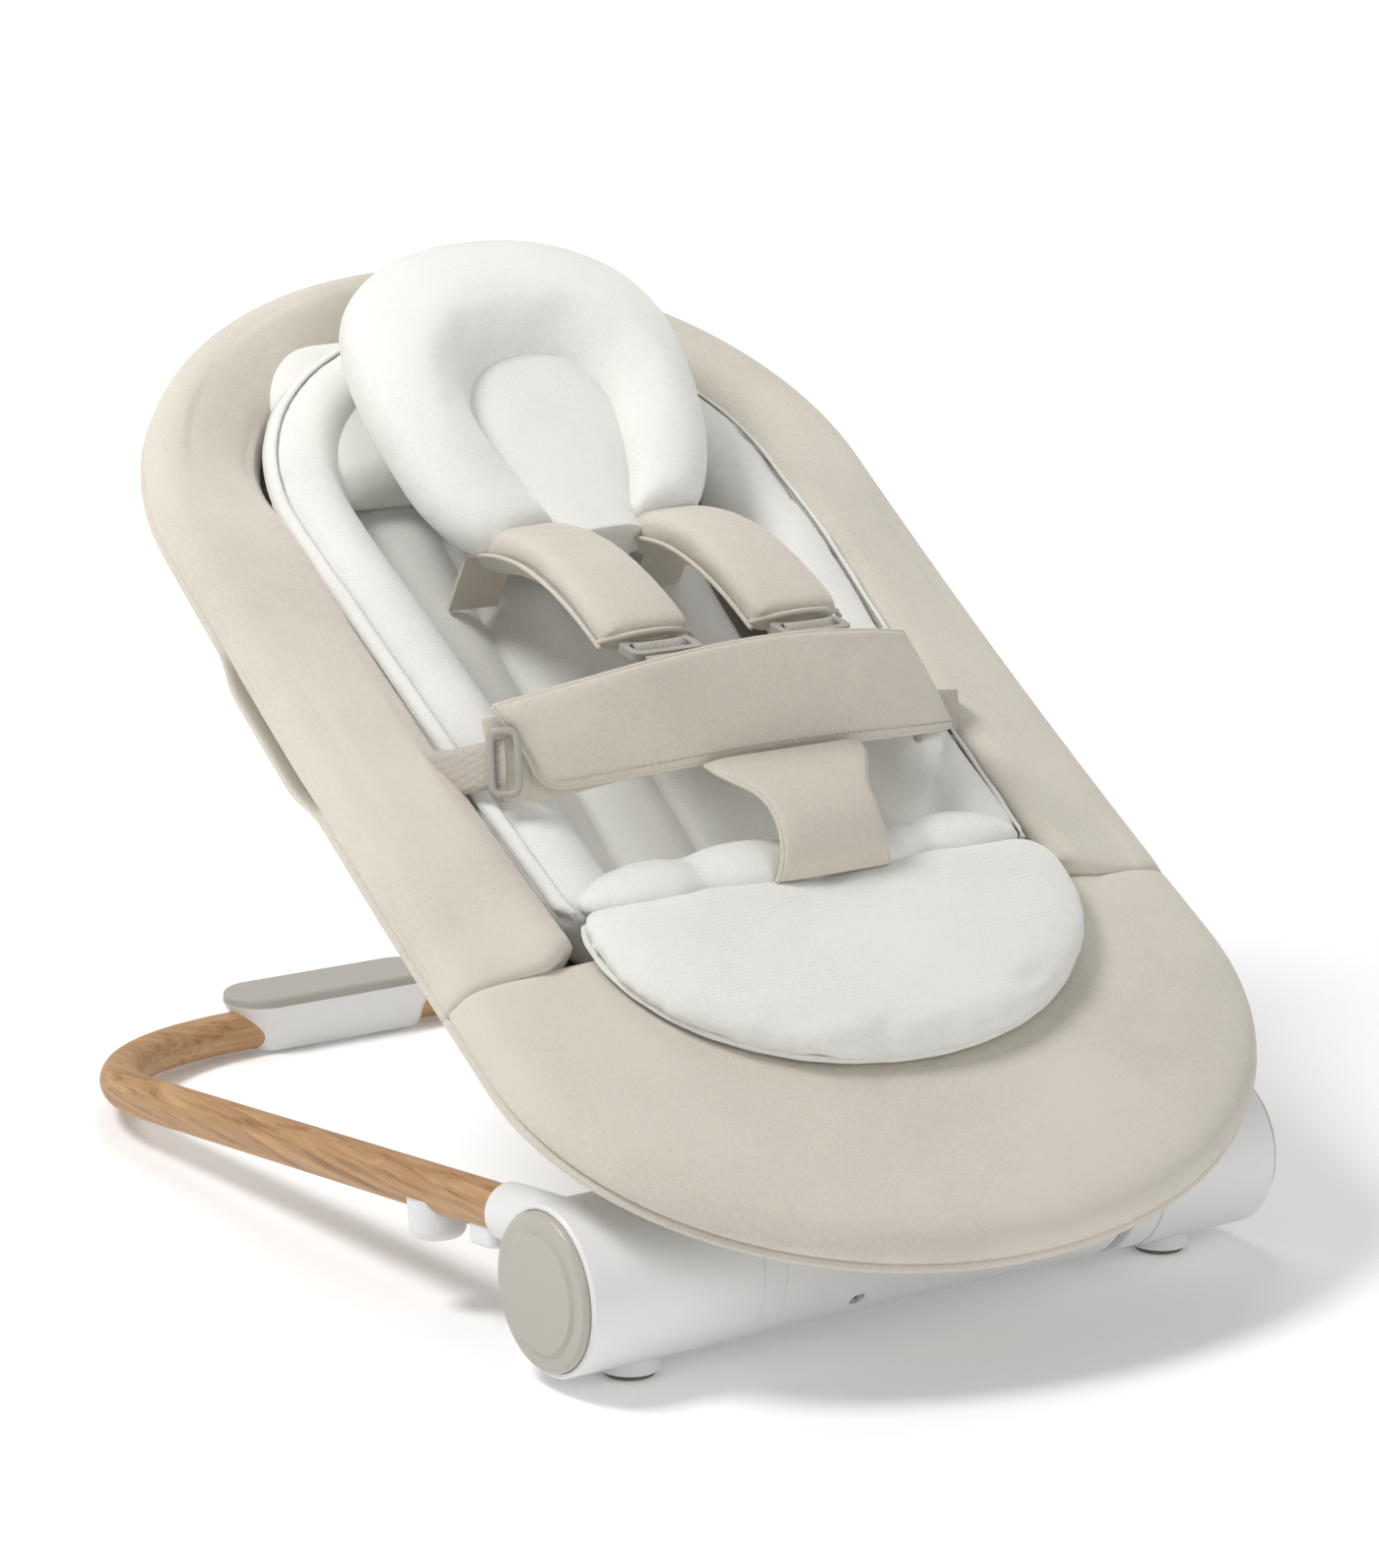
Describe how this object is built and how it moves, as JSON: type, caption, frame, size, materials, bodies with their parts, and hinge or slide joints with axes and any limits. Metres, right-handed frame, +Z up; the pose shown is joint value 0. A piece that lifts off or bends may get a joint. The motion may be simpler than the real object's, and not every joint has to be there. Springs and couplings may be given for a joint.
{
  "type": "baby bouncer seat",
  "caption": "Baby bouncer seat: padded oval recliner with harness and head pillow on a wood-tube base with a white front cylinder.",
  "frame": {"origin": "on the floor, under the centre of the object's bounding box", "axes": "+Z up; -Y is the front, where the child's feet are; +X is to the right of someone who looks at the seat from its front"},
  "size_m": [0.456, 0.7498, 0.5245],
  "materials": {
    "white_plastic": "matt",
    "cap_plastic": "satin",
    "rubber": "matt",
    "wood": "satin oak",
    "pad_fabric": "soft touch",
    "steel": "satin",
    "cover_fabric": "fine plain weave",
    "sling_fabric": "plain weave",
    "liner_fabric": "soft jersey",
    "harness_fabric": "padded plain weave",
    "webbing": "ribbed webbing",
    "ring_plastic": "satin"
  },
  "bodies": {
    "carrier": {"axle": "steel", "bounce_spring_left": "steel", "bounce_spring_right": "steel", "collar_left": "white_plastic", "collar_right": "white_plastic", "lock_disc_left": "white_plastic", "lock_disc_right": "white_plastic"},
    "seat": {"belt_tab": "harness_fabric", "cover_border": "cover_fabric", "crossbar": "steel", "crotch_strap": "harness_fabric", "drum": "white_plastic", "drum_bracket_left": "steel", "drum_bracket_right": "steel", "drum_screw_left": "steel", "drum_screw_right": "steel", "foot_panel": "cover_fabric", "head_pillow": "liner_fabric", "liner_back": "liner_fabric", "liner_bolster_left": "liner_fabric", "liner_bolster_right": "liner_fabric", "liner_head": "liner_fabric", "liner_leg_panel": "liner_fabric", "liner_seat_fold": "liner_fabric", "seat_frame_foot": "steel", "seat_frame_head": "steel", "seat_frame_left": "steel", "seat_frame_right": "steel", "shoulder_anchor_left": "harness_fabric", "shoulder_anchor_right": "harness_fabric", "shoulder_pad_left": "harness_fabric", "shoulder_pad_right": "harness_fabric", "shoulder_ring_left": "ring_plastic", "shoulder_ring_right": "ring_plastic", "shoulder_webbing_left": "webbing", "shoulder_webbing_right": "webbing", "side_ring_left": "ring_plastic", "side_ring_right": "ring_plastic", "side_webbing_left": "webbing", "side_webbing_right": "webbing", "sling": "sling_fabric", "waist_belt": "harness_fabric"},
    "button_left": {"button_left": "cap_plastic"},
    "button_right": {"button_right": "cap_plastic"},
    "base": {"button_spring_left": "steel", "button_spring_right": "steel", "hub_foot_left": "rubber", "hub_foot_right": "rubber", "hub_left": "white_plastic", "hub_right": "white_plastic", "rear_grip_left": "rubber", "rear_grip_right": "rubber", "rear_link": "white_plastic", "rear_pad": "pad_fabric", "tube_clip_left": "white_plastic", "tube_clip_right": "white_plastic", "tube_peg_left": "white_plastic", "tube_peg_right": "white_plastic", "wood_tube_left": "wood", "wood_tube_right": "wood"}
  },
  "joints": [
    {"name": "recline", "type": "hinge", "parent": "base", "child": "carrier", "pos_m": [0, -0.246, 0.05], "axis": [1, 0, 0], "range_deg": [-32, 0]},
    {"name": "bounce", "type": "hinge", "parent": "carrier", "child": "seat", "pos_m": [0, -0.246, 0.05], "axis": [1, 0, 0], "range_deg": [-4, 2], "stiffness_Nm_per_rad": 250, "springref_deg": 2.86},
    {"name": "press_left", "type": "slide", "parent": "base", "child": "button_left", "axis": [1, 0, 0], "range_m": [0, 0.004], "stiffness_N_per_m": 1500, "springref_m": -0.004},
    {"name": "press_right", "type": "slide", "parent": "base", "child": "button_right", "axis": [-1, 0, 0], "range_m": [0, 0.004], "stiffness_N_per_m": 1500, "springref_m": -0.004}
  ]
}
